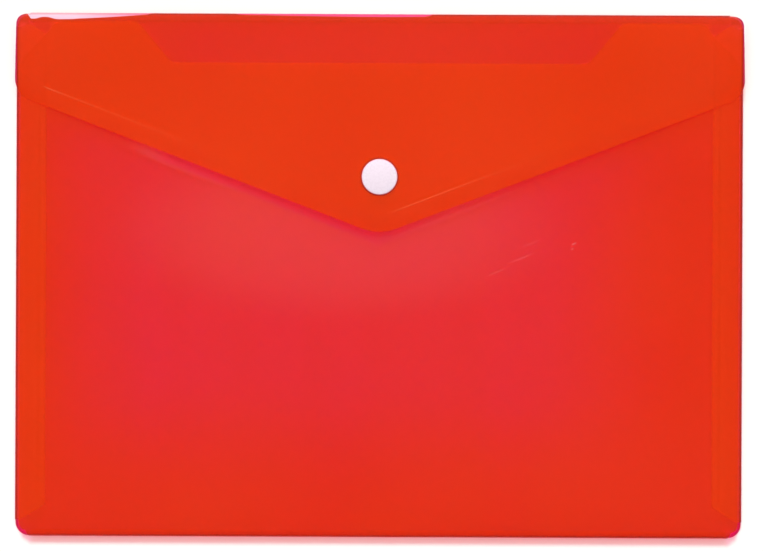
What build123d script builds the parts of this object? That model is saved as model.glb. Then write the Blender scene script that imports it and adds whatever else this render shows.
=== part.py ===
from build123d import *
import os

# A document wallet: one creased plastic sheet makes the back, the pocket and the flap,
# and a popper of four mouldings holds the flap shut. The closed wallet lies on its back,
# X across, Y towards the top spine, Z up, with the middle of its back at the origin.
# All lengths are in millimetres.

# Outside of the pocket
wallet_width = 335.0
wallet_height = 241.0
sheet = 0.3
top_corner = 6.0
bottom_corner = 6.5

# Folds, creases and the room between layers
pocket_depth = 4.6  # back panel to side tabs
weld_height = 0.3  # side tabs to front panel
fold_slit = 0.5  # end of a fold to the corner beside it
fold_arcs = 3  # arcs in the half turn of a fold
crease_room = 0.2  # cut edge of a panel to the middle of its crease

# Side tabs, folded in from the back panel and welded to the front panel
tab_width = 14.0
tab_top_drop = 4.6
tab_top_slant = 5.4
tab_nose = 3.0  # length of the cut that clears the rounded corner
tab_bottom_rise = 7.6
tab_bottom_slant = 7.0
weld_inset = 3.1  # weld line to the tab's inner edge
weld_breadth = 1.2
weld_length = 1.3
weld_pitch = 2.5
weld_end_room = 3.0

# Front panel and its thumb cut
front_side_gap = 2.0  # free side edge to the outside of the side fold
front_bottom_corner = 4.0
mouth_drop = 4.1
mouth_width = 303.0
mouth_corner = 6.0
mouth_notch_drop = 11.0
mouth_slant_drop = 22.0
throat_drop = 22.7
throat_top_width = 223.0
throat_bottom_width = 192.0
throat_corner = 5.0

# Closing flap
flap_root_width = 334.0
flap_width = 336.0
flap_shoulder_drop = 37.5
flap_shoulder_corner = 10.0
flap_tip_drop = 101.5
flap_tip_corner = 15.0

# Popper: cap and socket on the flap, stud and inner cap on the front panel
popper_drop = 75.1  # top edge to the popper's middle
cap_radius = 8.25
cap_crown = 1.6
cap_rim = 0.9
cap_edge = 0.5
inner_cap_radius = 6.5
inner_cap_crown = 0.9
inner_cap_edge = 0.3
stem_radius = 1.7
stem_play = 0.1  # stem to the bore of socket or stud
sheet_hole_play = 0.2  # stem to the hole in the sheet
rivet_radius = 2.1
rivet_play = 0.1
rivet_height = 0.3
socket_radius = 5.8
socket_height = 2.15
socket_web = 0.6
socket_edge = 0.4
lip_height = 0.45
lip_play = 0.2  # stud's neck to the socket's lip
bulb_play = 0.25  # stud's bulb to the socket's wall
snap_depth = 0.2  # how far the bulb reaches past the lip
stud_flange_radius = 6.0
stud_flange_height = 0.5
stud_height = 1.9
neck_radius = 2.6
neck_height = 0.55
bulb_waist = 0.25  # height over which neck widens to bulb
bulb_band = 0.2
popper_seat = 0.15  # stud's flange to the socket

# Levels of the underside of each layer, and places worked out from the sizes above
overrun = 1.0
half_width = wallet_width / 2
half_height = wallet_height / 2
tab_level = sheet + pocket_depth
weld_level = tab_level + sheet
front_level = weld_level + weld_height
stud_level = front_level + sheet
flap_level = stud_level + stud_flange_height + popper_seat + socket_height
cap_level = flap_level + sheet
side_radius = (tab_level + sheet) / 2
bottom_radius = (front_level + sheet) / 2
side_fold_x = half_width - side_radius
bottom_fold_y = bottom_radius - half_height
crease_y = half_height - sheet / 2
panel_top = crease_y - crease_room
lower_crease_z = sheet / 2
upper_crease_z = flap_level + sheet / 2
side_fold_top = half_height - top_corner - fold_slit
side_fold_bottom = tab_bottom_rise - half_height
bottom_fold_half = half_width - bottom_corner - fold_slit
spine_half = half_width - top_corner - fold_slit
tab_inner_x = half_width - tab_width
weld_x = tab_inner_x + weld_inset
popper_y = half_height - popper_drop
sheet_hole_radius = stem_radius + sheet_hole_play
bore_radius = stem_radius + stem_play
recess_radius = rivet_radius + rivet_play
lip_radius = neck_radius + lip_play
bulb_radius = lip_radius + snap_depth
socket_room_radius = bulb_radius + bulb_play


def both_sides(right_corners):
    # Corners given from the bottom up on the right are repeated from the top down on the left.
    left_corners = [(-x, y, radius) for x, y, radius in reversed(right_corners) if x > 0]
    return right_corners + left_corners


def flat_face(corners):
    # A flat outline whose corners are (x, y, radius).
    face = make_face(Polyline(*[(x, y) for x, y, radius in corners], close=True))
    for x, y, radius in corners:
        if radius > 0:
            corner = face.vertices().sort_by_distance((x, y, 0))[0]
            face = fillet(corner, radius)
    return face


def sheet_at(face, level):
    return extrude(Pos(0, 0, level) * face, sheet)


def popper_hole(level):
    return Pos(0, popper_y, level + sheet / 2) * Cylinder(sheet_hole_radius, sheet + overrun)


def make_back_panel():
    corners = both_sides(
        [
            (half_width, -half_height, bottom_corner),
            (half_width, panel_top, top_corner),
        ]
    )
    panel = sheet_at(flat_face(corners), 0)
    strip_top = side_fold_top + fold_slit
    strip_bottom = side_fold_bottom - fold_slit
    strip_height = strip_top - strip_bottom
    strip_width = side_radius + overrun
    side_strip = Box(strip_width, strip_height, sheet + overrun)
    strip_x = side_fold_x + strip_width / 2
    strip_y = (strip_top + strip_bottom) / 2
    panel -= Pos(strip_x, strip_y, sheet / 2) * side_strip
    panel -= Pos(-strip_x, strip_y, sheet / 2) * side_strip
    bottom_strip_height = bottom_radius + overrun
    bottom_strip = Box(
        (bottom_fold_half + fold_slit) * 2, bottom_strip_height, sheet + overrun
    )
    panel -= Pos(0, bottom_fold_y - bottom_strip_height / 2, sheet / 2) * bottom_strip
    return panel


def ring_slice(radius, start, turn):
    # A stretch of a thin ring, from the angle start on, in degrees.
    outer = CenterArc((0, 0), radius, start, turn)
    inner = CenterArc((0, 0), radius - sheet, start, turn)
    return make_face([outer, Line(outer @ 1, inner @ 1), inner, Line(inner @ 0, outer @ 0)])


def rolled_fold(plane, middle, radius, start, length):
    # Half a tube of sheet, rolled in equal arcs that lie end to end round the bend.
    turn = 180 / fold_arcs
    slices = [ring_slice(radius, start + i * turn, turn) for i in range(fold_arcs)]
    return Compound([extrude(plane * Pos(*middle) * arc, length) for arc in slices])


def make_right_side_fold():
    length = side_fold_top - side_fold_bottom
    fold = rolled_fold(Plane.XZ, (side_fold_x, side_radius), side_radius, -90, length)
    return Pos(0, side_fold_top, 0) * fold


def make_bottom_fold():
    length = bottom_fold_half * 2
    fold = rolled_fold(Plane.YZ, (bottom_fold_y, bottom_radius), bottom_radius, 90, length)
    return Pos(-bottom_fold_half, 0, 0) * fold


def make_right_side_tab():
    tab_top = half_height - tab_top_drop
    corners = [
        (side_fold_x, side_fold_bottom, 0),
        (side_fold_x, side_fold_top, 0),
        (side_fold_x - tab_nose, tab_top, 0),
        (tab_inner_x, tab_top - tab_top_slant, 0),
        (tab_inner_x, side_fold_bottom + tab_bottom_slant, 0),
    ]
    return sheet_at(flat_face(corners), tab_level)


def make_right_weld_spots():
    # The spots stay where tab and front panel lie over each other.
    first = side_fold_bottom + tab_bottom_slant + weld_end_room
    last = half_height - mouth_slant_drop - weld_end_room
    count = int((last - first) / weld_pitch) + 1
    spot = Box(weld_breadth, weld_length, weld_height)
    middle_z = weld_level + weld_height / 2
    spots = [Pos(weld_x, first + i * weld_pitch, middle_z) * spot for i in range(count)]
    return Compound(spots)


def make_front_panel():
    front_half = half_width - front_side_gap
    corners = both_sides(
        [
            (front_half, bottom_fold_y, front_bottom_corner),
            (front_half, half_height - mouth_slant_drop, mouth_corner),
            (mouth_width / 2, half_height - mouth_notch_drop, 0),
            (mouth_width / 2, half_height - mouth_drop, mouth_corner),
            (throat_top_width / 2, half_height - mouth_drop, throat_corner),
            (throat_bottom_width / 2, half_height - throat_drop, throat_corner),
        ]
    )
    panel = sheet_at(flat_face(corners), front_level)
    return panel - popper_hole(front_level)


def make_crease(level):
    # The thinned web that the sheet bends at, a round bead on the crease's own axis.
    bead = Cylinder(sheet / 2, spine_half * 2, rotation=(0, 90, 0))
    return Pos(0, crease_y, level) * bead


def make_top_spine():
    bottom = lower_crease_z + crease_room
    top = upper_crease_z - crease_room
    strip = Box(spine_half * 2, sheet, top - bottom)
    return Pos(0, crease_y, (top + bottom) / 2) * strip


def make_closing_flap():
    shoulder_y = half_height - flap_shoulder_drop
    corners = both_sides(
        [
            (0, half_height - flap_tip_drop, flap_tip_corner),
            (flap_width / 2, shoulder_y, flap_shoulder_corner),
            (flap_root_width / 2, panel_top, top_corner),
        ]
    )
    flap = sheet_at(flat_face(corners), flap_level)
    return flap - popper_hole(flap_level)


def turned(section):
    # A flat section drawn as radius and height, turned about the popper's own axis.
    return revolve(Plane.XZ * section, Axis.Z)


def riveted(head, stem_length):
    # A stem with a riveted end points down from the flat face of a cap's head.
    stem = Pos(0, 0, -stem_length / 2) * Cylinder(stem_radius, stem_length)
    rivet = Pos(0, 0, -stem_length - rivet_height / 2) * Cylinder(rivet_radius, rivet_height)
    return head + stem + rivet


def make_popper_cap():
    # The dome is part of a large ball, with a rounded edge above an upright rim.
    dome = cap_crown - cap_rim
    ball_radius = (cap_radius**2 + dome**2) / (dome * 2)
    middle_drop = ball_radius - (ball_radius**2 - (cap_radius / 2) ** 2) ** 0.5
    middle = (cap_radius / 2, cap_crown - middle_drop)
    outline = ThreePointArc((0, cap_crown), middle, (cap_radius, cap_rim))
    outline += Polyline((cap_radius, cap_rim), (cap_radius, 0), (0, 0), (0, cap_crown))
    section = make_face(outline)
    rim_corner = section.vertices().sort_by_distance((cap_radius, cap_rim, 0))[0]
    head = turned(fillet(rim_corner, cap_edge))
    return Pos(0, popper_y, cap_level) * riveted(head, sheet + socket_web - rivet_height)


def make_popper_inner_cap():
    outline = Polyline(
        (0, 0),
        (inner_cap_radius, 0),
        (inner_cap_radius, inner_cap_crown - inner_cap_edge),
        (inner_cap_radius - inner_cap_edge, inner_cap_crown),
        (0, inner_cap_crown),
        close=True,
    )
    cap = riveted(turned(make_face(outline)), sheet + stud_height - rivet_height)
    return Pos(0, popper_y, front_level) * Rot(180, 0, 0) * cap


def make_popper_socket():
    # A ring that hangs from the flap: a lip below, a wider room for the bulb, a web above.
    web_bottom = socket_height - socket_web
    recess_top = web_bottom + rivet_height
    outline = Polyline(
        (lip_radius, 0),
        (socket_radius - socket_edge, 0),
        (socket_radius, socket_edge),
        (socket_radius, socket_height),
        (bore_radius, socket_height),
        (bore_radius, recess_top),
        (recess_radius, recess_top),
        (recess_radius, web_bottom),
        (socket_room_radius, web_bottom),
        (socket_room_radius, lip_height + bulb_play),
        (lip_radius, lip_height),
        close=True,
    )
    return Pos(0, popper_y, flap_level - socket_height) * turned(make_face(outline))


def make_popper_stud():
    # A flange on the front panel with a bulb that narrows to a neck, riveted through its bore.
    neck_top = stud_flange_height + neck_height
    bulb_bottom = neck_top + bulb_waist
    bulb_top = bulb_bottom + bulb_band
    outline = Polyline(
        (bore_radius, 0),
        (stud_flange_radius, 0),
        (stud_flange_radius, stud_flange_height),
        (neck_radius, stud_flange_height),
        (neck_radius, neck_top),
        (bulb_radius, bulb_bottom),
        (bulb_radius, bulb_top),
        (neck_radius, stud_height),
        (recess_radius, stud_height),
        (recess_radius, stud_height - rivet_height),
        (bore_radius, stud_height - rivet_height),
        close=True,
    )
    return Pos(0, popper_y, stud_level) * turned(make_face(outline))


def make_parts():
    right_side_fold = make_right_side_fold()
    right_side_tab = make_right_side_tab()
    right_weld_spots = make_right_weld_spots()
    return {
        "back_panel": make_back_panel(),
        "bottom_fold": make_bottom_fold(),
        "front_panel": make_front_panel(),
        "left_side_fold": mirror(right_side_fold, Plane.YZ),
        "right_side_fold": right_side_fold,
        "left_side_tab": mirror(right_side_tab, Plane.YZ),
        "right_side_tab": right_side_tab,
        "left_weld_spots": mirror(right_weld_spots, Plane.YZ),
        "right_weld_spots": right_weld_spots,
        "lower_crease": make_crease(lower_crease_z),
        "top_spine": make_top_spine(),
        "upper_crease": make_crease(upper_crease_z),
        "closing_flap": make_closing_flap(),
        "popper_cap": make_popper_cap(),
        "popper_socket": make_popper_socket(),
        "popper_stud": make_popper_stud(),
        "popper_inner_cap": make_popper_inner_cap(),
    }


os.makedirs("parts", exist_ok=True)
for name, shape in make_parts().items():
    export_step(shape, f"parts/{name}.step")
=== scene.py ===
import math

import bpy
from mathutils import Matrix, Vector


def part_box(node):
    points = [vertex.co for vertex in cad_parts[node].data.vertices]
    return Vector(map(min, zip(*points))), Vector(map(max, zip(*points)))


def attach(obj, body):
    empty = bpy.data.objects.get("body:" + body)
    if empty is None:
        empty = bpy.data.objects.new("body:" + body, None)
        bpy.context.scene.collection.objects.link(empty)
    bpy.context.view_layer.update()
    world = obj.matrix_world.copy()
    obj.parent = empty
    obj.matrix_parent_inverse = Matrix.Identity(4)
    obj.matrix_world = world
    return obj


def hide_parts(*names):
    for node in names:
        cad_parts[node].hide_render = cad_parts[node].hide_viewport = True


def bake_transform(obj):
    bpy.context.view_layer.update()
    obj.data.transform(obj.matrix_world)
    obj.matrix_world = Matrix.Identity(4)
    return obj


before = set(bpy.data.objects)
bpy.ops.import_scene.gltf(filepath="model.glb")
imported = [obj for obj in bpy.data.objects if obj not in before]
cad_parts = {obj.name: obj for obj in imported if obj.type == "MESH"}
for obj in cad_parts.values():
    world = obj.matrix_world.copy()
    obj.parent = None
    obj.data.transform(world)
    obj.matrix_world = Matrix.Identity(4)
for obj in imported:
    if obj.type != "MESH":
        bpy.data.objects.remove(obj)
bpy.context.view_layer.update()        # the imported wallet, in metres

print("frame loaded:", len(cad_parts), "nodes")

# Where the layers, folds and edges lie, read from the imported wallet
backLow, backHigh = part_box("back_panel")
sideLow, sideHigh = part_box("right_side_fold")
bottomLow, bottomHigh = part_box("bottom_fold")
tabLow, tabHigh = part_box("right_side_tab")
weldLow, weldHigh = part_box("right_weld_spots")
frontLow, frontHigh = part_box("front_panel")
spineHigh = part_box("top_spine")[1]
flapLow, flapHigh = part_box("closing_flap")
capLow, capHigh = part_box("popper_cap")

film = backHigh.z - backLow.z                  # thickness of the plastic sheet
backLevel = backHigh.z - film / 2              # middle of each layer
tabLevel = tabHigh.z - film / 2
frontLevel = frontHigh.z - film / 2
flapLevel = flapHigh.z - film / 2
sideRoll = (tabLevel - backLevel) / 2          # bend of each fold, along the middle of the sheet
bottomRoll = (frontLevel - backLevel) / 2
topRoll = (flapLevel - backLevel) / 2
sideLine = sideLow.x                           # where each fold starts
bottomLine = bottomHigh.y
topLine = spineHigh.y - film / 2 - topRoll
popper = Vector(((capLow.x + capHigh.x) / 2, (capLow.y + capHigh.y) / 2, flapHigh.z))
capRadius = (capHigh.x - capLow.x) / 2


# Small helpers for the modelling below

def deselectAll():
    if bpy.context.mode != "OBJECT":
        bpy.ops.object.mode_set(mode="OBJECT")
    bpy.ops.object.select_all(action="DESELECT")


def makeActive(piece):
    deselectAll()
    piece.select_set(True)
    bpy.context.view_layer.objects.active = piece


def editWhole(piece):
    makeActive(piece)
    bpy.ops.object.mode_set(mode="EDIT")
    bpy.ops.mesh.select_mode(type="VERT")
    bpy.ops.mesh.select_all(action="SELECT")


def applyModifier(piece, kind, **settings):
    makeActive(piece)
    modifier = piece.modifiers.new(kind.lower(), kind)
    for key, value in settings.items():
        setattr(modifier, key, value)
    bpy.ops.object.modifier_apply(modifier=modifier.name)


def nameActive(name):
    piece = bpy.context.object
    piece.name = name
    piece.data.name = name
    return piece


def bothSides(rightCorners):
    leftCorners = [(-x, y, r) for x, y, r in reversed(rightCorners) if x > 0]
    return rightCorners + leftCorners


def evenPlaces(start, end, step):
    count = max(1, math.ceil((end - start) / step))
    return [start + (end - start) * i / count for i in range(1, count)]


def stepPlaces(start, end, steps):
    return evenPlaces(start, end, (end - start) / steps)


# A sheet starts as a filled circle with one point for each corner of its outline
def cutOutline(name, corners, level, roundSteps):
    deselectAll()
    bpy.ops.mesh.primitive_circle_add(vertices=len(corners), radius=1, fill_type="NGON")
    sheet = nameActive(name)
    for vertex, (x, y, r) in zip(sheet.data.vertices, corners):
        vertex.co = (x, y, level)
    for i, (x, y, r) in enumerate(corners):
        if r > 0:
            before = Vector(corners[i - 1][:2] + (level,))
            after = Vector(corners[(i + 1) % len(corners)][:2] + (level,))
            roundCorner(sheet, before, Vector((x, y, level)), after, r, roundSteps)
    return sheet


def roundCorner(sheet, before, corner, after, radius, steps):
    halfAngle = (before - corner).angle(after - corner) / 2
    editWhole(sheet)
    bpy.ops.mesh.select_all(action="DESELECT")
    bpy.ops.object.mode_set(mode="OBJECT")
    nearest = min(sheet.data.vertices, key=lambda vertex: (vertex.co - corner).length)
    nearest.select = True
    bpy.ops.object.mode_set(mode="EDIT")
    reach = radius / math.tan(halfAngle)
    bpy.ops.mesh.bevel(
        offset_type="ABSOLUTE", offset=reach, affect="VERTICES", segments=steps, profile=0.5
    )
    bpy.ops.object.mode_set(mode="OBJECT")


def cutAcross(sheet, normal, places):
    editWhole(sheet)
    for place in places:
        bpy.ops.mesh.select_all(action="SELECT")
        bpy.ops.mesh.bisect(plane_co=Vector(normal) * place, plane_no=normal)
    bpy.ops.object.mode_set(mode="OBJECT")


# Rolls what lies past a fold's line round the fold, up or down
def rollPast(sheet, direction, line, radius, upward):
    along = Vector(direction)
    for vertex in sheet.data.vertices:
        past = vertex.co.dot(along) - line
        if past > 0:
            turn = past / radius
            vertex.co += along * (radius * math.sin(turn) - past)
            vertex.co.z += upward * radius * (1 - math.cos(turn))


def shapeBy(sheet, lift):
    for vertex in sheet.data.vertices:
        vertex.co.z += lift(vertex.co.x, vertex.co.y)


edgeFinish = {
    "softness": 0.00005,       # how far the cut edges of the sheet are rounded off
    "steps": 2,
    "sharpAngle": 60,          # edges that turn by more than this, in degrees, are rounded off
    "smoothAngle": 40,
}


def smoothFaces(piece):
    makeActive(piece)
    bpy.ops.object.shade_smooth_by_angle(angle=math.radians(edgeFinish["smoothAngle"]))


def thicken(sheet):
    applyModifier(sheet, "SOLIDIFY", thickness=film, offset=0, use_even_offset=True)
    editWhole(sheet)
    bpy.ops.mesh.normals_make_consistent(inside=False)
    bpy.ops.object.mode_set(mode="OBJECT")
    applyModifier(
        sheet, "BEVEL", width=edgeFinish["softness"], segments=edgeFinish["steps"],
        limit_method="ANGLE", angle_limit=math.radians(edgeFinish["sharpAngle"]),
    )
    smoothFaces(sheet)


# Each point keeps its place at rest, so that marks stay put on a sheet that bends
def keepPlace(sheet):
    place = sheet.data.attributes.new("restPlace", "FLOAT_VECTOR", "POINT")
    for vertex, kept in zip(sheet.data.vertices, place.data):
        kept.vector = vertex.co


# Hole for a stem of the popper
punchSizes = {
    "radius": 0.0019,
    "depth": film * 8,         # well through the sheet on both sides
    "sides": 40,
}


def punchHole(sheet, level):
    s = punchSizes
    deselectAll()
    bpy.ops.mesh.primitive_cylinder_add(
        vertices=s["sides"], radius=s["radius"], depth=s["depth"], location=(popper.x, popper.y, level)
    )
    punch = bpy.context.object
    applyModifier(sheet, "BOOLEAN", operation="DIFFERENCE", object=punch, solver="EXACT")
    bpy.data.objects.remove(punch)


# Back of the pocket, with the lower half of the top fold
backSheetSizes = {
    "topRound": 0.006,
    "bottomRound": 0.0063,
    "slit": 0.00006,           # between a fold's end and the corner beside it
    "grid": 0.014,
    "rollSteps": 7,
    "roundSteps": 10,
}


def makeBackSheet():
    s = backSheetSizes
    outerX = backHigh.x
    rollEnd = topLine + topRoll * math.pi / 2
    corners = bothSides([
        (bottomHigh.x + s["slit"], bottomLine, 0),
        (bottomHigh.x + s["slit"], backLow.y, 0),
        (outerX, backLow.y, s["bottomRound"]),
        (outerX, sideLow.y - s["slit"], 0),
        (sideLine, sideLow.y - s["slit"], 0),
        (sideLine, sideHigh.y + s["slit"], 0),
        (outerX, sideHigh.y + s["slit"], 0),
        (outerX, backHigh.y, s["topRound"]),
        (spineHigh.x + s["slit"], backHigh.y, 0),
        (spineHigh.x + s["slit"], topLine, 0),
        (spineHigh.x, topLine, 0),
        (spineHigh.x, rollEnd, 0),
    ])
    sheet = cutOutline("backSheet", corners, backLevel, s["roundSteps"])
    cutAcross(sheet, (1, 0, 0), evenPlaces(-spineHigh.x, spineHigh.x, s["grid"]))
    cutAcross(sheet, (0, 1, 0), evenPlaces(bottomLine, topLine, s["grid"]) + [topLine])
    cutAcross(sheet, (0, 1, 0), stepPlaces(topLine, rollEnd, s["rollSteps"]))
    rollPast(sheet, (0, 1, 0), topLine, topRoll, 1)
    thicken(sheet)
    keepPlace(sheet)
    return sheet


# Front of the pocket, with its mouth, its thumb cut and the bottom fold
frontSheetSizes = {
    "bottomRound": 0.004,
    "foldSpread": 0.002,       # the bottom fold widens by this towards the front
    "mouthHalf": 0.1515,
    "mouthRound": 0.006,
    "notchDrop": 0.0036,       # mouth edge down to the notch beside it
    "slantDrop": 0.0179,       # mouth edge down to the end of the slant at the side
    "throatDrop": 0.0186,
    "throatTopHalf": 0.1115,
    "throatBottomHalf": 0.096,
    "throatRound": 0.005,
    "swell": 0.0009,           # how far the lower half bows out
    "grid": 0.011,
    "rollSteps": 12,
    "roundSteps": 8,
}


def frontLift(x, y):
    if y < bottomLine or y > popper.y:
        return 0
    across = math.cos(math.pi * x / (frontHigh.x - frontLow.x)) ** 2
    along = math.sin(math.pi * (y - bottomLine) / (popper.y - bottomLine)) ** 2
    return frontSheetSizes["swell"] * across * along


def makeFrontSheet():
    s = frontSheetSizes
    mouth = frontHigh.y
    rollEnd = bottomLine - bottomRoll * math.pi
    corners = bothSides([
        (bottomHigh.x, rollEnd, 0),
        (bottomHigh.x, (rollEnd + bottomLine) / 2, 0),
        (bottomHigh.x + s["foldSpread"], bottomLine, 0),
        (frontHigh.x, bottomLine, s["bottomRound"]),
        (frontHigh.x, mouth - s["slantDrop"], s["mouthRound"]),
        (s["mouthHalf"], mouth - s["notchDrop"], 0),
        (s["mouthHalf"], mouth, s["mouthRound"]),
        (s["throatTopHalf"], mouth, s["throatRound"]),
        (s["throatBottomHalf"], mouth - s["throatDrop"], s["throatRound"]),
    ])
    sheet = cutOutline("frontSheet", corners, frontLevel, s["roundSteps"])
    cutAcross(sheet, (1, 0, 0), evenPlaces(frontLow.x, frontHigh.x, s["grid"]))
    cutAcross(sheet, (0, 1, 0), evenPlaces(bottomLine, mouth, s["grid"]) + [bottomLine])
    cutAcross(sheet, (0, 1, 0), stepPlaces(rollEnd, bottomLine, s["rollSteps"]))
    shapeBy(sheet, frontLift)
    rollPast(sheet, (0, -1, 0), -bottomLine, bottomRoll, -1)
    thicken(sheet)
    punchHole(sheet, frontLevel)
    keepPlace(sheet)
    return sheet


# Side fold with the tab that the front is welded to, made once for the right and copied to the left
sideTabSizes = {
    "nose": 0.003,
    "topSlant": 0.0054,
    "bottomSlant": 0.007,
    "grid": 0.012,
    "rollSteps": 12,
}


def makeSideTab(name, side):
    s = sideTabSizes
    rollEnd = sideLine + sideRoll * math.pi
    corners = [
        (tabLow.x, tabHigh.y - s["topSlant"], 0),
        (tabLow.x, tabLow.y + s["bottomSlant"], 0),
        (sideLine, tabLow.y, 0),
        (rollEnd, tabLow.y, 0),
        (rollEnd, sideHigh.y, 0),
        (sideLine, sideHigh.y, 0),
        (sideLine - s["nose"], tabHigh.y, 0),
    ]
    sheet = cutOutline(name, corners, tabLevel, 1)
    cutAcross(sheet, (0, 1, 0), evenPlaces(tabLow.y, tabHigh.y, s["grid"]))
    cutAcross(sheet, (1, 0, 0), stepPlaces(sideLine, rollEnd, s["rollSteps"]) + [sideLine])
    rollPast(sheet, (1, 0, 0), sideLine, sideRoll, -1)
    if side < 0:
        for vertex in sheet.data.vertices:
            vertex.co.x = -vertex.co.x
    thicken(sheet)
    keepPlace(sheet)
    return sheet


# Flap with its pressed line, and the upper half of the top fold
flapSheetSizes = {
    "tipY": 0.0186,            # where the two slanted edges would meet
    "tipRound": 0.021,
    "shoulderHalf": 0.168,
    "shoulderY": 0.083,
    "shoulderRound": 0.01,
    "rootHalf": 0.167,
    "rootRound": 0.0057,
    "rootRise": 0.0005,        # corners beside the top fold, above where the flap ends in the middle
    "slit": 0.00006,
    "lineInset": 0.0079,       # pressed line to the slanted edge
    "lineHalf": 0.00035,
    "lineRise": 0.00003,
    "lineEnd": 0.160,
    "droop": 0.0026,           # how far the outer corners sink towards the pocket
    "grid": 0.011,
    "rollSteps": 7,
    "roundSteps": 12,
}
flapSlope = (flapSheetSizes["shoulderY"] - flapSheetSizes["tipY"]) / flapSheetSizes["shoulderHalf"]
lineY = flapSheetSizes["tipY"] + flapSheetSizes["lineInset"] * math.hypot(1, flapSlope)


def flapLift(x, y):
    s = flapSheetSizes
    away = math.hypot(x - popper.x, y - popper.y) / s["shoulderHalf"]
    slack = min(1, max(0, (topLine - y) / (topLine - s["shoulderY"])))
    return -s["droop"] * min(1, away ** 3) * slack * slack


def pressLine(sheet):
    s = flapSheetSizes
    for side in (-1, 1):
        normal = Vector((-flapSlope * side, 1, 0)).normalized()
        middle = Vector((0, lineY, flapLevel))
        for offset in (-s["lineHalf"], -s["lineHalf"] / 2, 0, s["lineHalf"] / 2, s["lineHalf"]):
            editWhole(sheet)
            bpy.ops.mesh.select_mode(type="FACE")
            bpy.ops.mesh.select_all(action="DESELECT")
            bpy.ops.object.mode_set(mode="OBJECT")
            for face in sheet.data.polygons:
                face.select = face.center.x * side > 0 and face.center.y < topLine
            bpy.ops.object.mode_set(mode="EDIT")
            bpy.ops.mesh.bisect(plane_co=middle + normal * offset, plane_no=normal)
            bpy.ops.object.mode_set(mode="OBJECT")
    for vertex in sheet.data.vertices:
        away = abs(vertex.co.y - lineY - flapSlope * abs(vertex.co.x)) / math.hypot(1, flapSlope)
        if away < s["lineHalf"] and abs(vertex.co.x) < s["lineEnd"]:
            vertex.co.z += s["lineRise"] * (1 - away / s["lineHalf"])


def makeFlapSheet():
    s = flapSheetSizes
    rollEnd = topLine + topRoll * math.pi / 2
    rootY = flapHigh.y + s["rootRise"]
    corners = bothSides([
        (0, s["tipY"], s["tipRound"]),
        (s["shoulderHalf"], s["shoulderY"], s["shoulderRound"]),
        (s["rootHalf"], rootY, s["rootRound"]),
        (spineHigh.x + s["slit"], rootY, 0),
        (spineHigh.x + s["slit"], topLine, 0),
        (spineHigh.x, topLine, 0),
        (spineHigh.x, rollEnd, 0),
    ])
    sheet = cutOutline("flapSheet", corners, flapLevel, s["roundSteps"])
    leftPlaces = evenPlaces(-spineHigh.x, 0, s["grid"])
    rightPlaces = evenPlaces(0, spineHigh.x, s["grid"])
    cutAcross(sheet, (1, 0, 0), leftPlaces + [0] + rightPlaces)
    cutAcross(sheet, (0, 1, 0), evenPlaces(s["tipY"], topLine, s["grid"]) + [topLine])
    cutAcross(sheet, (0, 1, 0), stepPlaces(topLine, rollEnd, s["rollSteps"]))
    shapeBy(sheet, flapLift)
    pressLine(sheet)
    rollPast(sheet, (0, 1, 0), topLine, topRoll, -1)
    thicken(sheet)
    punchHole(sheet, flapLevel)
    keepPlace(sheet)
    return sheet


# Weld marks between tab and front: one small fused bar, then a row of them
weldMarkSizes = {
    "pitch": 0.0025,
    "length": 0.0013,
    "corner": 0.00008,
    "cornerSteps": 2,
    "dimple": 0.0003,
    "dimpleDepth": 0.00008,
}


def makeWeldMarks(name, side):
    s = weldMarkSizes
    middle = (weldLow + weldHigh) / 2
    count = round((weldHigh.y - weldLow.y - s["length"]) / s["pitch"]) + 1
    deselectAll()
    bpy.ops.mesh.primitive_cube_add(size=1)
    marks = nameActive(name)
    bpy.ops.object.mode_set(mode="EDIT")
    bpy.ops.transform.resize(value=(weldHigh.x - weldLow.x, s["length"], weldHigh.z - weldLow.z))
    bpy.ops.transform.translate(value=(side * middle.x, weldLow.y + s["length"] / 2, middle.z))
    bpy.ops.mesh.bevel(offset=s["corner"], segments=s["cornerSteps"], profile=0.5)
    bpy.ops.mesh.select_mode(type="FACE")
    bpy.ops.mesh.select_all(action="DESELECT")
    bpy.ops.object.mode_set(mode="OBJECT")
    top = max(marks.data.polygons, key=lambda face: (face.normal.z, face.area))
    top.select = True
    bpy.ops.object.mode_set(mode="EDIT")
    bpy.ops.mesh.inset(thickness=s["dimple"])
    bpy.ops.transform.translate(value=(0, 0, -s["dimpleDepth"]))
    bpy.ops.object.mode_set(mode="OBJECT")
    applyModifier(
        marks, "ARRAY", count=count, use_relative_offset=False, use_constant_offset=True,
        constant_offset_displace=(0, s["pitch"], 0),
    )
    smoothFaces(marks)
    keepPlace(marks)
    return marks


# Popper cap: rivet end, stem, flat underside, rounded rim and a low dome, drawn up ring by ring
popperCapSizes = {
    "stemRadius": 0.0017,
    "rivetRadius": 0.0021,
    "rivetHeight": 0.0003,
    "rimRound": 0.0006,
    "rimRise": 0.00095,        # flat underside to the top of the rim
    "rimTurn": 0.94,           # share of a quarter turn that the rim is rounded by, up to the dome
    "roundSteps": 6,
    "domeSteps": 10,
    "sides": 96,
}


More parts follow.
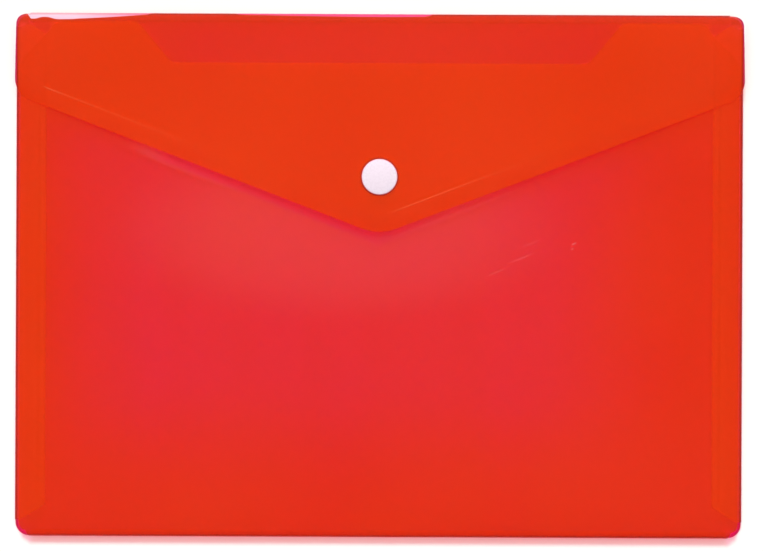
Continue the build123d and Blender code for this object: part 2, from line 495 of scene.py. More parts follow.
def capRings():
    s = popperCapSizes
    crown = capHigh.z
    rimTop = popper.z + s["rimRise"]
    underRound = s["rimRound"] / 3
    rings = [
        (s["rivetRadius"], capLow.z + s["rivetHeight"]),
        (s["stemRadius"], capLow.z + s["rivetHeight"]),
        (s["stemRadius"], popper.z),
        (capRadius - underRound, popper.z),
        (capRadius, popper.z + underRound),
    ]
    for i in range(s["roundSteps"] + 1):
        turn = math.pi / 2 * s["rimTurn"] * i / s["roundSteps"]
        ringRadius = capRadius - s["rimRound"] * (1 - math.cos(turn))
        rings.append((ringRadius, rimTop - s["rimRound"] * (1 - math.sin(turn))))
    edgeRadius, edgeHeight = rings[-1]
    for i in range(1, s["domeSteps"]):
        share = 1 - i / s["domeSteps"]
        rings.append((edgeRadius * share, crown - (crown - edgeHeight) * share * share))
    return rings, crown


def makePopperCap():
    s = popperCapSizes
    rings, crown = capRings()
    deselectAll()
    bpy.ops.mesh.primitive_circle_add(
        vertices=s["sides"], radius=s["rivetRadius"], fill_type="NGON",
        location=(popper.x, popper.y, capLow.z),
    )
    cap = nameActive("popperCap")
    bpy.ops.object.transform_apply(location=True, rotation=True, scale=True)
    bpy.ops.object.mode_set(mode="EDIT")
    bpy.ops.mesh.select_mode(type="FACE")
    bpy.ops.mesh.select_all(action="SELECT")
    radius, height = s["rivetRadius"], capLow.z
    for nextRadius, nextHeight in rings:
        bpy.ops.mesh.extrude_region_move(TRANSFORM_OT_translate={"value": (0, 0, nextHeight - height)})
        share = nextRadius / radius
        bpy.ops.transform.resize(value=(share, share, 1), center_override=(popper.x, popper.y, nextHeight))
        radius, height = nextRadius, nextHeight
    bpy.ops.mesh.extrude_region_move(TRANSFORM_OT_translate={"value": (0, 0, crown - height)})
    bpy.ops.mesh.merge(type="CENTER")
    bpy.ops.mesh.select_all(action="SELECT")
    bpy.ops.mesh.normals_make_consistent(inside=False)
    bpy.ops.object.mode_set(mode="OBJECT")
    smoothFaces(cap)
    return cap


backSheet = makeBackSheet()
frontSheet = makeFrontSheet()
leftTab = makeSideTab("leftSideTab", -1)
rightTab = makeSideTab("rightSideTab", 1)
flapSheet = makeFlapSheet()
print("sheets cut, folded and thickened")
leftWelds = makeWeldMarks("leftWeldMarks", -1)
rightWelds = makeWeldMarks("rightWeldMarks", 1)
popperCap = makePopperCap()
print("welds and popper cap modelled")


# Node helpers for the materials

def newMaterial(name):
    material = bpy.data.materials.new(name)
    material.use_nodes = True
    material.node_tree.nodes.clear()
    return material, material.node_tree


def addNode(tree, kind, inputs=None, **settings):
    node = tree.nodes.new("ShaderNode" + kind)
    for key, value in settings.items():
        setattr(node, key, value)
    for key, value in (inputs or {}).items():
        if isinstance(value, bpy.types.NodeSocket):
            tree.links.new(value, node.inputs[key])
        else:
            node.inputs[key].default_value = value
    return node


def maths(tree, operation, a, b=0.0, clamp=False):
    return addNode(tree, "Math", {0: a, 1: b}, operation=operation, use_clamp=clamp).outputs[0]


def plus(tree, a, b):
    return maths(tree, "ADD", a, b)


def minus(tree, a, b):
    return maths(tree, "SUBTRACT", a, b)


def times(tree, a, b):
    return maths(tree, "MULTIPLY", a, b)


def larger(tree, a, b):
    return maths(tree, "MAXIMUM", a, b)


def unsigned(tree, a):
    return maths(tree, "ABSOLUTE", a)


def awayFrom(tree, a, b):
    return unsigned(tree, minus(tree, a, b))


def lengthOf(tree, a, b):
    squareA = maths(tree, "POWER", a, 2.0)
    squareB = maths(tree, "POWER", b, 2.0)
    return maths(tree, "SQRT", plus(tree, squareA, squareB))


# Adds up values, each times its share
def addUp(tree, *parts):
    total = 0.0
    for value, share in parts:
        total = plus(tree, total, times(tree, value, share))
    return total


def mapRange(tree, value, fromLow, fromHigh, toLow, toHigh, smooth=False):
    node = addNode(
        tree, "MapRange", {0: value, 1: fromLow, 2: fromHigh, 3: toLow, 4: toHigh},
        interpolation_type="SMOOTHSTEP" if smooth else "LINEAR",
    )
    return node.outputs[0]


# Soft steps from none to full and from full to none
def fadeIn(tree, value, start, end):
    return mapRange(tree, value, start, end, 0, 1, True)


def fadeOut(tree, value, start, end):
    return mapRange(tree, value, start, end, 1, 0, True)


def mixColour(tree, share, a, b, blend="MIX"):
    node = addNode(tree, "Mix", {0: share, 6: a, 7: b}, data_type="RGBA", blend_type=blend)
    return node.outputs[2]


def noiseOf(tree, place, scale, detail=2.0, stretch=(1, 1, 1)):
    if stretch != (1, 1, 1):
        place = addNode(tree, "Mapping", {"Vector": place, "Scale": stretch}).outputs[0]
    return addNode(tree, "TexNoise", {"Vector": place, "Scale": scale, "Detail": detail}).outputs[0]


# Spreads a noise, which mostly lies between these two values, from low to high
noiseLow = 0.3
noiseHigh = 0.7


def fromNoise(tree, noise, low, high):
    return mapRange(tree, noise, noiseLow, noiseHigh, low, high)


def bumpOf(tree, height):
    return addNode(tree, "Bump", {"Strength": 1.0, "Distance": 1.0, "Height": height}).outputs[0]


def xyOf(tree, place):
    split = addNode(tree, "SeparateXYZ", {0: place})
    return split.outputs[0], split.outputs[1]


def curveOf(tree, value, points):
    node = addNode(tree, "FloatCurve", {"Value": value})
    curve = node.mapping.curves[0]
    curve.points[0].location = points[0]
    curve.points[1].location = points[-1]
    for point in points[1:-1]:
        curve.points.new(*point)
    node.mapping.update()
    return node.outputs[0]


# Lamps shine through by an even share, which also keeps the render quick
def letLampsThrough(tree, shader, share):
    fromLamp = addNode(tree, "LightPath").outputs["Is Shadow Ray"]
    lampClear = addNode(tree, "BsdfTransparent", {"Color": share})
    return addNode(tree, "MixShader", {0: fromLamp, 1: shader, 2: lampClear.outputs[0]}).outputs[0]


# Translucent red plastic: the body of the sheet takes out green and blue, and its haze scatters orange
filmLook = {
    "bodyColour": (0.978, 0.001, 0.965, 1),
    "bodyDensity": 7200,
    "haze": 0.28,
    "hazeColour": (0.732, 0.086, 0.002, 1),
    "hazeDeep": (0.716, 0.077, 0.001, 1),
    "pressedColour": (0.79, 0.106, 0.001, 1),    # where sheets lie pressed on each other
    "paintedGlowColour": (0.732, 0.070, 0.002, 1),      # painted glow in the middle of the front, standing in for an overhead light's reflection
    "whiteColour": (0.95, 0.55, 0.60, 1),
    "rimColour": (0.52, 0.035, 0.010, 1),
    "rimClear": (0.92, 0.92, 0.42, 1),
    "foldClear": (0.97, 0.85, 0.55, 1),    # in the back's half of the top fold
    "cornerRim": (0.95, 0.92, 0.85, 1),    # where the back's corners lie alone on the floor
    "rimWide": 0.0007,
    "rimBlur": 0.0007,
    "rimRound": 0.006,
    "rimBottom": 0.5,           # what is left of the rim on the bottom fold
    "shine": 0.015,             # share of light that the surface mirrors, seen square on
    "shineAslant": 0.15,
    "shinePower": 5.0,
    "roughLow": 0.16,
    "roughHigh": 0.26,
    "cloudScale": 14.0,
    "cloudHaze": (0.95, 1.05),  # how far clouds and streaks vary the haze
    "streakScale": 40.0,
    "streakStretch": (1, 0.03, 1),
    "streakHaze": (0.97, 1.03),
    "grainScale": 2200.0,
    "grainHeight": 0.000010,
    "rippleHeight": 0.00006,
    "lampShare": (0.952, 0.95, 0.50, 1),    # what one surface lets through from a lamp
}


def filmPlace(tree):
    return addNode(tree, "Attribute", attribute_name="restPlace").outputs["Vector"]


# How far a point lies past a rectangle with rounded corners; less than zero inside
def pastRounded(tree, wide, high, halfWide, halfHigh, radius):
    pastX = plus(tree, minus(tree, wide, halfWide), radius)
    pastY = plus(tree, minus(tree, high, halfHigh), radius)
    corner = lengthOf(tree, larger(tree, pastX, 0.0), larger(tree, pastY, 0.0))
    inside = maths(tree, "MINIMUM", larger(tree, pastX, pastY), 0.0)
    return minus(tree, plus(tree, corner, inside), radius)


# One on the outermost line of the wallet, where the sheet is seen along its length and looks dark; the
# darkening is also painted shade, for the contact shade where the edge meets the floor
def outerRim(tree, place):
    look = filmLook
    x, y = xyOf(tree, place)
    middle = (spineHigh.y + bottomLow.y) / 2
    wide = unsigned(tree, x)
    high = awayFrom(tree, y, middle)
    past = pastRounded(tree, wide, high, sideHigh.x, spineHigh.y - middle, look["rimRound"])
    rim = fadeIn(tree, past, -look["rimWide"] - look["rimBlur"], -look["rimWide"])
    weaker = mapRange(tree, y, bottomLow.y, bottomLine, look["rimBottom"], 1)
    return times(tree, rim, weaker)


# marks says what a sheet shows besides the plain film: pressed, paintedGlow, haze, white, whiteColour,
# clear, height and depth, and where its edges are dark: rim, rimShare, rimColour and rimClear. paintedGlow
# is painted light, and haze, white, whiteColour and rim also carry painted highlights and shade
def filmShader(tree, place, marks):
    look = filmLook
    broad = addNode(tree, "TexNoise", {"Vector": place, "Scale": look["cloudScale"], "Detail": 1.0})
    split = addNode(tree, "SeparateColor", {0: broad.outputs["Color"]})
    clouds, ripple, patches = split.outputs[0], split.outputs[1], split.outputs[2]
    streaks = noiseOf(tree, place, look["streakScale"], 1.0, look["streakStretch"])
    grain = noiseOf(tree, place, look["grainScale"], 0.0)
    rim = times(tree, outerRim(tree, place), marks.get("rimShare", 1.0))
    rim = larger(tree, rim, marks.get("rim", 0.0))

    cloudHaze = fromNoise(tree, clouds, *[share * look["haze"] for share in look["cloudHaze"]])
    haze = times(tree, cloudHaze, fromNoise(tree, streaks, *look["streakHaze"]))
    haze = maths(tree, "ADD", haze, marks.get("haze", 0.0), clamp=True)
    tint = mixColour(tree, fromNoise(tree, clouds, 0, 1), look["hazeDeep"], look["hazeColour"])
    tint = mixColour(tree, marks.get("paintedGlow", 0.0), tint, look["paintedGlowColour"])
    tint = mixColour(tree, marks.get("pressed", 0.0), tint, look["pressedColour"])
    tint = mixColour(tree, marks.get("white", 0.0), tint, marks.get("whiteColour", look["whiteColour"]))
    tint = mixColour(tree, rim, tint, marks.get("rimColour", look["rimColour"]))
    rough = fromNoise(tree, patches, look["roughLow"], look["roughHigh"])

    height = times(tree, grain, look["grainHeight"])
    height = plus(tree, height, times(tree, ripple, look["rippleHeight"]))
    height = plus(tree, height, marks.get("height", 0.0))
    bump = bumpOf(tree, height)

    rimClear = marks.get("rimClear", look["rimClear"])
    clearColour = mixColour(tree, rim, marks.get("clear", (1, 1, 1, 1)), rimClear, "MULTIPLY")
    clear = addNode(tree, "BsdfTransparent", {"Color": clearColour})
    veil = addNode(tree, "BsdfPrincipled", {
        "Base Color": tint, "Roughness": rough, "Normal": bump, "Specular IOR Level": 0.0,
    })
    gloss = addNode(tree, "BsdfGlossy", {"Color": (1, 1, 1, 1), "Roughness": rough, "Normal": bump})
    facing = addNode(tree, "LayerWeight", {"Blend": 0.5}).outputs["Facing"]
    aslant = maths(tree, "POWER", facing, look["shinePower"])
    shine = mapRange(tree, aslant, 0, 1, look["shine"], look["shineAslant"])
    hazy = addNode(tree, "MixShader", {0: haze, 1: clear.outputs[0], 2: veil.outputs[0]})
    shiny = addNode(tree, "MixShader", {0: shine, 1: hazy.outputs[0], 2: gloss.outputs[0]})
    surface = letLampsThrough(tree, shiny.outputs[0], look["lampShare"])
    density = marks.get("depth", 1.0) * look["bodyDensity"]
    body = addNode(tree, "VolumeAbsorption", {"Color": look["bodyColour"], "Density": density})
    addNode(tree, "OutputMaterial", {"Surface": surface, "Volume": body.outputs[0]})


# The back looks plain, but deeper in its half of the top fold
def makeBackFilm():
    material, tree = newMaterial("redFilm")
    place = filmPlace(tree)
    y = xyOf(tree, place)[1]
    bent = fadeIn(tree, y, topLine, topLine + topRoll / 2)
    filmShader(tree, place, {
        "clear": mixColour(tree, bent, (1, 1, 1, 1), filmLook["foldClear"]),
        "rimClear": filmLook["cornerRim"],
    })
    return material


def makeTabFilm():
    material, tree = newMaterial("redTabFilm")
    filmShader(tree, filmPlace(tree), {"pressed": 1.0})
    return material


# One inside a soft patch and zero outside it, with straight sides or round
def softPatch(tree, x, y, middle, half, blur):
    inside = 1.0
    for value, centre, reach in zip((x, y), middle, half):
        past = minus(tree, awayFrom(tree, value, centre), reach)
        inside = times(tree, inside, fadeOut(tree, past, -blur, blur))
    return inside


def softSpot(tree, x, y, middle, half):
    far = 0.0
    for value, centre, reach in zip((x, y), middle, half):
        share = maths(tree, "DIVIDE", minus(tree, value, centre), reach)
        far = plus(tree, far, maths(tree, "POWER", share, 2.0))
    return fadeOut(tree, far, 0, 1)


# The front also shows its welds to the tabs, a painted glow in its middle for an overhead reflection, a
# painted highlight below the flap's tip with a painted pink shade band along the flap's edge, and scratches
weldBand = {
    "half": 0.0009,
    "edge": 0.0006,
    "endFade": 0.001,
    "haze": 0.02,
    "tickHeight": 0.00003,
    "tickLow": -0.4,           # a tick rises between these heights of a wave along the weld
    "tickHigh": 0.6,
    "betweenTicks": 0.4,
}
# Painted light on the front: a glow patch that paints the reflection of an overhead light, a painted
# highlight below the flap's tip, and a painted pink shade band just below the flap's edge; tabBlur is the
# soft edge of the tabs
frontGlow = {
    "middle": (-0.016, 0.003),
    "half": (0.127, 0.082),
    "blur": 0.036,
    "flapFade": 0.012,         # the painted glow fades this far under the flap
    "underFlap": 0.75,
    "outside": (1.0, 1.0, 0.58, 1),    # what is let through outside and inside the painted glow
    "inside": (1.0, 0.93, 0.97, 1),
    "tipHighlightMiddle": (-0.018, 0.022),
    "tipHighlightHalf": (0.115, 0.047),
    "tipHighlightHaze": 0.02,
    "tipHighlightWhite": 0.09,
    "tipHighlightColour": (0.95, 0.62, 0.42, 1),
    "tabBlur": 0.0005,
    "edgeGap": 0.0035,         # the painted highlight starts this far below the flap's edge
    "edgeBlur": 0.003,
    "flapShadeWhite": 0.35,       # painted pink shade band between the flap's edge and the painted highlight
    "flapShadeColour": (0.80, 0.075, 0.17, 1),
    "flapShadeStart": 0.001,
    "flapShadeLeft": (-0.118, -0.095),    # it comes in and goes out between these places across the wallet
    "flapShadeRight": (-0.02, 0.08),
}
scratches = {
    "lean": 22,                # degrees
    "white": 0.22,
    "strokes": [               # middle, half length, half width and strength of each
        (0.0539, 0.0018, 0.0060, 0.0005, 1.0),
        (0.0654, 0.0083, 0.0075, 0.0005, 1.1),
        (0.0695, 0.0150, 0.0060, 0.0006, 0.7),
        (0.0896, 0.0151, 0.0017, 0.0004, 3.0),
        (0.0889, 0.0127, 0.0010, 0.0005, 2.0),
    ],
}


def scratchMarks(tree, x, y):
    lean = math.radians(scratches["lean"])
    marked = 0.0
    for middleX, middleY, half, wide, strength in scratches["strokes"]:
        alongX = minus(tree, x, middleX)
        alongY = minus(tree, y, middleY)
        along = addUp(tree, (alongX, math.cos(lean)), (alongY, math.sin(lean)))
        across = addUp(tree, (alongY, math.cos(lean)), (alongX, -math.sin(lean)))
        stroke = softSpot(tree, along, across, (0, 0), (half, wide))
        marked = larger(tree, marked, times(tree, stroke, strength * scratches["white"]))
    return marked


# One on the ticks of the welds, weaker between them
def weldTicks(tree, wide, y):
    b = weldBand
    away = awayFrom(tree, wide, (weldLow.x + weldHigh.x) / 2)
    band = fadeOut(tree, away, b["half"], b["half"] + b["edge"])
    inLength = mapRange(tree, y, weldLow.y - b["endFade"], weldLow.y, 0, 1)
    inLength = times(tree, inLength, mapRange(tree, y, weldHigh.y, weldHigh.y + b["endFade"], 1, 0))
    wave = maths(tree, "SINE", times(tree, y, 2 * math.pi / weldMarkSizes["pitch"]))
    ticks = fadeIn(tree, wave, b["tickLow"], b["tickHigh"])
    ticks = mapRange(tree, ticks, 0, 1, b["betweenTicks"], 1)
    return times(tree, times(tree, band, inLength), ticks)


# One where the front lies on a tab
def frontPressed(tree, wide, y):
    blur = frontGlow["tabBlur"]
    tabEnd = mapRange(tree, wide, tabLow.x, sideLine, tabLow.y + sideTabSizes["bottomSlant"], tabLow.y)
    onTab = fadeIn(tree, wide, tabLow.x - blur, tabLow.x + blur)
    return times(tree, onTab, fadeIn(tree, minus(tree, y, tabEnd), -blur, blur))


def makeFrontFilm():
    g = frontGlow
    material, tree = newMaterial("redFrontFilm")
    place = filmPlace(tree)
    x, y = xyOf(tree, place)
    wide = unsigned(tree, x)
    marked = weldTicks(tree, wide, y)
    # painted glow, for the reflection of an overhead light
    paintedGlow = softPatch(tree, x, y, g["middle"], g["half"], g["blur"])
    # painted highlight below the flap's tip
    tipHighlight = softSpot(tree, x, y, g["tipHighlightMiddle"], g["tipHighlightHalf"])
    flapEdge = plus(tree, times(tree, wide, flapSlope), flapSheetSizes["tipY"])
    below = minus(tree, flapEdge, y)
    paintedGlow = times(tree, paintedGlow, mapRange(tree, below, -g["flapFade"], 0, g["underFlap"], 1, True))
    pastGap = fadeIn(tree, below, g["edgeGap"], g["edgeGap"] + g["edgeBlur"])
    tipHighlight = times(tree, tipHighlight, pastGap)
    # painted pink shade band just below the flap's edge, where the flap shades the front
    flapShade = times(tree, paintedGlow, minus(tree, 1.0, pastGap))
    flapShade = times(tree, flapShade, fadeIn(tree, x, *g["flapShadeLeft"]))
    flapShade = times(tree, flapShade, fadeOut(tree, x, *g["flapShadeRight"]))
    flapShade = times(tree, flapShade, fadeIn(tree, below, -g["flapShadeStart"], 0))
    # white holds the painted highlight and the real scratches
    white = larger(tree, times(tree, tipHighlight, g["tipHighlightWhite"]), scratchMarks(tree, x, y))
    filmShader(tree, place, {
        "pressed": frontPressed(tree, wide, y),
        "haze": addUp(tree, (marked, weldBand["haze"]), (tipHighlight, g["tipHighlightHaze"])),
        "white": larger(tree, white, times(tree, flapShade, g["flapShadeWhite"])),
        "whiteColour": mixColour(tree, flapShade, g["tipHighlightColour"], g["flapShadeColour"]),
        "paintedGlow": paintedGlow,
        "clear": mixColour(tree, paintedGlow, g["outside"], g["inside"]),
        "height": times(tree, marked, weldBand["tickHeight"]),
    })
    return material


# The flap whitens along its pressed line and in a pale band along the top fold's edge, and carries painted
# shade and a painted glint
flapMarks = {
    "depth": 0.3,              # less body colour, made up for in clear, for a lighter shadow
    "clear": (0.983, 0.47, 0.62, 1),
    "bareClear": (0.960, 0.42, 0.69, 1),    # over the thumb cut, with one sheet less below
    "edgeClear": (0.80, 0.12, 0.70, 1),     # along the side edges
    "edgeRim": (0.92, 0.92, 0.80, 1),
    "edgeWide": 0.0012,
    "cornerClear": (0.88, 0.44, 0.50, 1),
    "cornerBlur": 0.001,
    "lineHalf": 0.00028,
    "lineCore": 0.4,           # the pressed line fades between these shares of lineHalf
    "lineEdge": 1.2,
    "lineHaze": 0.08,
    "lineWhite": 0.52,
    "lineColour": (0.95, 0.40, 0.13, 1),
    "lineCurve": [             # how strongly the line shows, from the left side to the right
        (0.0, 0.0), (0.035, 0.0), (0.04, 1.0), (0.055, 0.9), (0.075, 0.5), (0.18, 0.35),
        (0.25, 0.15), (0.32, 0.0), (0.512, 0.0), (0.52, 0.5), (0.56, 0.8), (0.61, 0.55),
        (0.66, 0.3), (0.7, 0.2), (0.73, 0.1), (0.75, 0.0), (1.0, 0.0),
    ],
    "foldHaze": 0.7,
    "foldDeep": 0.0036,        # how far the whitened band reaches in from the top edge
    "foldBlur": 0.00025,
    "foldCurve": [
        (0.0, 0.0), (0.013, 0.0), (0.016, 0.74), (0.023, 0.9), (0.038, 0.65), (0.059, 0.95), (0.0865, 0.85),
        (0.114, 0.72), (0.15, 0.5), (0.18, 0.25), (0.2, 0.0), (0.295, 0.0), (0.305, 0.2), (0.35, 0.3),
        (0.42, 0.4), (0.5, 0.45), (0.56, 0.4), (0.585, 0.0), (1.0, 0.0),
    ],
    "foldWhite": (0.76, 0.48, 0.58, 1),
    "foldPink": (0.86, 0.07, 0.26, 1),
    "pinkFrom": 0.08,          # the band turns from white to pink along its length
    "pinkTo": 0.22,
    "bendBlur": 0.002,
    # painted shade on the bent top fold, against the extra light it catches: foldClear lets less through
    # and foldRim darkens it
    "foldClear": (0.95, 0.47, 0.47, 1),
    "foldRim": 0.1,
    "foldRimShare": 0.35,      # what is left of the outer rim on the whitened band
    "foldShade": 0.7,          # painted shadow line under the whitened band it comes in as the band deepens
    "shadeFrom": 0.05,         # it comes in as the crease deepens
    "shadeTo": 0.3,
    "shadeWide": 0.0011,
    "shadeClear": (0.80, 0.30, 0.60, 1),
    "capShadowDark": 0.9,           # painted shadow ring round the cap
    "capShadowColour": (0.34, 0.02, 0.008, 1),
    "capShadowWide": 0.0011,
    "capShadowCore": 1 / 3,
    "paintedShadeHaze": 0.4,
    # painted glint: a narrow upright streak of light on the flap
    "paintedGlint": (-0.1446, 0.0969),
    "paintedGlintSize": (0.0016, 0.008),
    "paintedGlintWhite": 0.03,
    "blur": 0.0005,
}


def fromPopper(tree, x, y):
    return lengthOf(tree, minus(tree, x, popper.x), minus(tree, y, popper.y))


# One along the flap's side edges and round its top corners
def flapSides(tree, wide, y):
    s = flapSheetSizes
    top = flapHigh.y + s["rootRise"]
    half = mapRange(tree, y, s["shoulderY"], top, s["shoulderHalf"], s["rootHalf"])
    past = pastRounded(tree, wide, y, half, top, s["rootRound"])
    edge = fadeIn(tree, past, -flapMarks["edgeWide"], 0)
    return times(tree, edge, mapRange(tree, wide, spineHigh.x, sideLine, 0, 1))


# One where the flap lies over the front or a tab, zero over the thumb cut and the open top corners
def flapPressed(tree, wide, y):
    f = frontSheetSizes
    t = sideTabSizes
    mouth = frontHigh.y
    blur = flapMarks["blur"]
    throatY = mouth - f["throatDrop"]
    cutX = mapRange(tree, y, throatY, mouth, f["throatBottomHalf"], f["throatTopHalf"])
    inCut = fadeIn(tree, minus(tree, cutX, wide), -blur, blur)
    inCut = times(tree, inCut, fadeIn(tree, y, throatY - blur, throatY + blur))
    notchY = mouth - f["notchDrop"]
    slantY = mapRange(tree, wide, f["mouthHalf"], frontHigh.x, notchY, mouth - f["slantDrop"])
    tabY = mapRange(tree, wide, tabLow.x, sideLine - t["nose"], tabHigh.y - t["topSlant"], tabHigh.y)
    past = minus(tree, y, larger(tree, slantY, tabY))
    inCorner = fadeIn(tree, past, -blur, blur)
    beside = fadeIn(tree, wide, f["mouthHalf"] - blur, f["mouthHalf"] + blur)
    inCorner = times(tree, inCorner, beside)
    overMouth = fadeIn(tree, y, mouth - blur, mouth + blur)
    bare = larger(tree, larger(tree, inCut, inCorner), overMouth)
    return minus(tree, 1.0, bare)


def makeFlapFilm():
    look = flapMarks
    material, tree = newMaterial("redFlapFilm")
    place = filmPlace(tree)
    x, y = xyOf(tree, place)
    wide = unsigned(tree, x)
    along = mapRange(tree, x, -flapSheetSizes["rootHalf"], flapSheetSizes["rootHalf"], 0, 1)
    lineAt = plus(tree, times(tree, wide, flapSlope), lineY)
    away = awayFrom(tree, y, lineAt)
    line = fadeOut(tree, away, look["lineHalf"] * look["lineCore"], look["lineHalf"] * look["lineEdge"])
    line = times(tree, line, curveOf(tree, along, look["lineCurve"]))
    # painted glint on the flap
    paintedGlint = softSpot(tree, x, y, look["paintedGlint"], look["paintedGlintSize"])

    foldShare = curveOf(tree, along, look["foldCurve"])
    fromTop = minus(tree, spineHigh.y, y)
    inFold = minus(tree, times(tree, foldShare, look["foldDeep"]), fromTop)
    fold = fadeIn(tree, inFold, 0, look["foldBlur"])
    turned = mapRange(tree, along, look["pinkFrom"], look["pinkTo"], 0, 1)
    foldColour = mixColour(tree, turned, look["foldWhite"], look["foldPink"])
    shade = fadeIn(tree, inFold, -look["shadeWide"], -look["foldBlur"])
    deepening = mapRange(tree, foldShare, look["shadeFrom"], look["shadeTo"], 0, look["foldShade"])
    shade = times(tree, shade, deepening)
    bent = fadeIn(tree, y, topLine - look["blur"], topLine + look["bendBlur"])
    edge = flapSides(tree, wide, y)
    # painted shade: the top fold's darker rim, the shadow line under the whitened band and, below, the
    # shadow ring round the cap
    paintedShade = larger(tree, times(tree, bent, look["foldRim"]), shade)
    paintedShade = times(tree, paintedShade, minus(tree, 1.0, fold))
    # painted shadow ring round the cap
    fromCap = minus(tree, fromPopper(tree, x, y), capRadius)
    capShadowFull = look["capShadowWide"] * look["capShadowCore"]
    capShadow = mapRange(tree, fromCap, capShadowFull, look["capShadowWide"], look["capShadowDark"], 0, True)
    paintedShade = larger(tree, paintedShade, capShadow)
    pressed = flapPressed(tree, wide, y)
    clear = mixColour(tree, pressed, look["bareClear"], look["clear"])
    clear = mixColour(tree, bent, clear, look["foldClear"])
    clear = mixColour(tree, shade, clear, look["shadeClear"])
    corner = fadeIn(tree, wide, spineHigh.x, spineHigh.x + look["cornerBlur"])
    corner = times(tree, corner, fadeIn(tree, y, sideHigh.y, topLine))
    clear = mixColour(tree, corner, clear, look["cornerClear"])
    white = larger(tree, times(tree, line, look["lineWhite"]), fold)
    filmShader(tree, place, {
        "depth": look["depth"],
        "pressed": pressed,
        "haze": addUp(tree, (line, look["lineHaze"]), (fold, look["foldHaze"]), (paintedShade, look["paintedShadeHaze"])),
        "white": larger(tree, white, times(tree, paintedGlint, look["paintedGlintWhite"])),
        "whiteColour": mixColour(tree, fold, look["lineColour"], foldColour),
        "clear": mixColour(tree, edge, clear, look["edgeClear"]),
        "rim": larger(tree, paintedShade, edge),
        "rimShare": mapRange(tree, fold, 0, 1, 1, look["foldRimShare"]),
        "rimColour": mixColour(tree, capShadow, filmLook["rimColour"], look["capShadowColour"]),
        "rimClear": mixColour(tree, edge, filmLook["rimClear"], look["edgeRim"]),
    })
    return material


# The fused bars hold little colour of their own
weldDepth = 0.1


def makeWeldFilm():
    material, tree = newMaterial("redWeldFilm")
    filmShader(tree, filmPlace(tree), {"pressed": 1.0, "depth": weldDepth})
    return material


# White moulded plastic of the popper
popperLook = {
    "colour": (0.84, 0.715, 0.80, 1),
    "shadeColour": (0.832, 0.705, 0.793, 1),
    "cloudScale": 220.0,
    "cloudRange": (0.35, 0.65),
    "roughScale": 900.0,
    "roughLow": 0.22,
    "roughHigh": 0.34,
    "grainScale": 2600.0,
    "grainHeight": 0.0000001,
    "coat": 0.3,
    "coatRough": 0.12,
    "edgeColour": (0.86, 0.46, 0.56, 1),    # the red sheet shines on the side of the cap
    "edgeWide": 0.0007,
    "lampShare": (0.93, 0.80, 0.84, 1),
}


def makePopperPlastic():
    look = popperLook
    material, tree = newMaterial("whitePopperPlastic")
    place = addNode(tree, "TexCoord").outputs["Object"]
    clouds = mapRange(tree, noiseOf(tree, place, look["cloudScale"]), *look["cloudRange"], 0, 1)
    colour = mixColour(tree, clouds, look["shadeColour"], look["colour"])
    reach = fromPopper(tree, *xyOf(tree, place))
    edge = fadeIn(tree, reach, capRadius - look["edgeWide"], capRadius)
    colour = mixColour(tree, edge, colour, look["edgeColour"])
    rough = noiseOf(tree, place, look["roughScale"], 3.0)
    rough = fromNoise(tree, rough, look["roughLow"], look["roughHigh"])
    height = times(tree, noiseOf(tree, place, look["grainScale"]), look["grainHeight"])
    bump = bumpOf(tree, height)
    shader = addNode(tree, "BsdfPrincipled", {
        "Base Color": colour, "Roughness": rough, "Normal": bump,
        "Coat Weight": look["coat"], "Coat Roughness": look["coatRough"],
    })
    surface = letLampsThrough(tree, shader.outputs[0], look["lampShare"])
    addNode(tree, "OutputMaterial", {"Surface": surface})
    return material


backFilm = makeBackFilm()
tabFilm = makeTabFilm()
frontFilm = makeFrontFilm()
flapFilm = makeFlapFilm()
weldFilm = makeWeldFilm()
popperPlastic = makePopperPlastic()

for piece, material, slotName in (
    (backSheet, backFilm, "red_sheet"),
    (frontSheet, frontFilm, "red_sheet"),
    (leftTab, tabFilm, "red_sheet"),
    (rightTab, tabFilm, "red_sheet"),
    (flapSheet, flapFilm, "red_sheet"),
    (leftWelds, weldFilm, "red_sheet"),
    (rightWelds, weldFilm, "red_sheet"),
    (popperCap, popperPlastic, "white_popper"),
):
    piece.data.materials.clear()
    piece.data.materials.append(material)
for node in ("popper_socket", "popper_stud", "popper_inner_cap"):
    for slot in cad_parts[node].material_slots:
        slot.material = popperPlastic
print("materials made")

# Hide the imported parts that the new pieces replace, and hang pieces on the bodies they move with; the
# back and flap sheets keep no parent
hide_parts("back_panel", "lower_crease")
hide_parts("front_panel", "bottom_fold")
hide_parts("left_side_fold", "left_side_tab")
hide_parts("right_side_fold", "right_side_tab")
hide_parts("closing_flap", "upper_crease", "top_spine")
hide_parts("left_weld_spots")
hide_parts("right_weld_spots")
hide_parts("popper_cap")
for piece in (frontSheet, leftTab, rightTab, leftWelds, rightWelds):
    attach(piece, "pocket")
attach(popperCap, "flap")
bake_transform(backSheet)
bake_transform(flapSheet)
print("pieces ride on their bodies")

# Plain pale floor, just under the wallet
floorLook = {
    "size": 60,
    "drop": 0.0002,
    "noiseScale": 30.0,
    "colour": (0.93, 0.925, 0.89, 1),
    "shade": (0.92, 0.915, 0.88, 1),
}


def makeFloor():
    deselectAll()
    bpy.ops.mesh.primitive_plane_add(size=floorLook["size"], location=(0, 0, -floorLook["drop"]))
    floor = bpy.context.object
    floor.name = "paleFloor"
    material, tree = newMaterial("palePaper")
    place = addNode(tree, "TexCoord").outputs["Object"]
    noise = noiseOf(tree, place, floorLook["noiseScale"])
    colour = mixColour(tree, noise, floorLook["shade"], floorLook["colour"])
    shader = addNode(tree, "BsdfDiffuse", {"Color": colour})
    addNode(tree, "OutputMaterial", {"Surface": shader.outputs[0]})
    floor.data.materials.append(material)


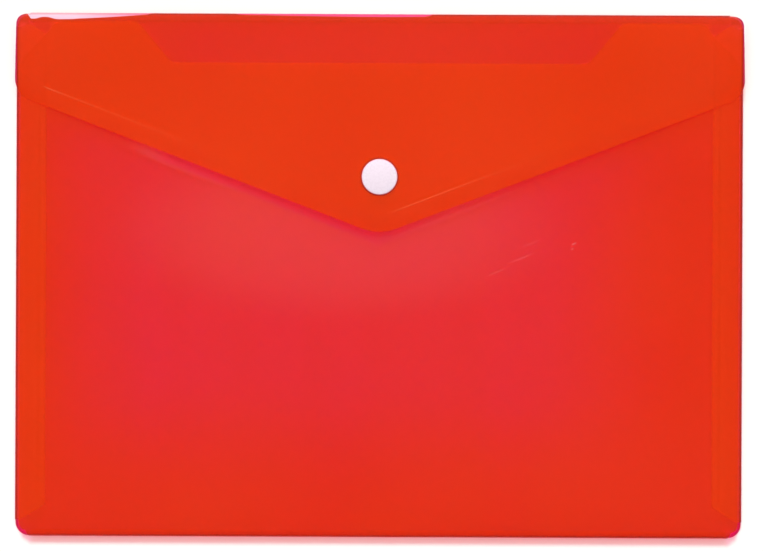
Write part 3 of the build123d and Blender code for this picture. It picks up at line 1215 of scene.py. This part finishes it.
# Soft studio light: pale walls, a dim ceiling, a slanted lamp from the top left and a wide one overhead
lightLevels = {
    "wallLight": 0.4,
    "ceilingLight": 0.2,
    "key": 2.52,
    "keyAngle": 16,            # how wide a lamp looks and how far it is turned, in degrees
    "keyTurn": (-42, -4, 0),
    "softKey": 1.05,
    "softAngle": 70,
    "softTurn": (-12, -4, 0),
    "cardLight": 0.12,
    "cardSize": (0.62, 0.42),
    "cardPlace": (-0.01, -0.05, 2.4),
}


def makeWorld():
    world = bpy.data.worlds.new("studio")
    bpy.context.scene.world = world
    world.use_nodes = True
    tree = world.node_tree
    tree.nodes.clear()
    place = addNode(tree, "TexCoord").outputs["Generated"]
    height = addNode(tree, "SeparateXYZ", {0: place}).outputs[2]
    level = mapRange(tree, height, 0, 1, lightLevels["wallLight"], lightLevels["ceilingLight"])
    background = addNode(tree, "Background", {"Color": (1, 1, 1, 1), "Strength": level})
    addNode(tree, "OutputWorld", {"Surface": background.outputs[0]})


def addSun(name, strength, angle, turn):
    deselectAll()
    bpy.ops.object.light_add(type="SUN", rotation=[math.radians(part) for part in turn])
    lamp = bpy.context.object
    lamp.name = name
    lamp.data.energy = strength
    lamp.data.angle = math.radians(angle)
    lamp.visible_glossy = False


def addCard():
    deselectAll()
    bpy.ops.object.light_add(type="AREA", location=lightLevels["cardPlace"])
    card = bpy.context.object
    card.name = "overheadCard"
    card.data.shape = "RECTANGLE"
    card.data.size, card.data.size_y = lightLevels["cardSize"]
    card.data.energy = lightLevels["cardLight"] * math.pi * card.data.size * card.data.size_y


# Camera straight above, framed as the photograph is
view = {
    "height": 1.5,
    "frameWidth": 0.3512,      # what the picture's width covers at the front of the pocket
    "centre": (0.0011, -0.0001),
    "roll": 0.25,              # degrees
}


def makeCamera():
    deselectAll()
    bpy.ops.object.camera_add(location=view["centre"] + (frontLevel + view["height"],))
    camera = bpy.context.object
    camera.name = "photoCamera"
    camera.rotation_euler = (0, 0, math.radians(view["roll"]))
    camera.data.sensor_fit = "HORIZONTAL"
    camera.data.lens = camera.data.sensor_width * view["height"] / view["frameWidth"]
    bpy.context.scene.camera = camera


makeFloor()
makeWorld()
addSun("keyLight", lightLevels["key"], lightLevels["keyAngle"], lightLevels["keyTurn"])
addSun("softLight", lightLevels["softKey"], lightLevels["softAngle"], lightLevels["softTurn"])
addCard()
makeCamera()
bpy.context.scene.view_settings.view_transform = "Standard"
bpy.context.scene.cycles.transparent_max_bounces = 40      # the closed wallet is up to ten surfaces deep
print("floor, light and camera set")
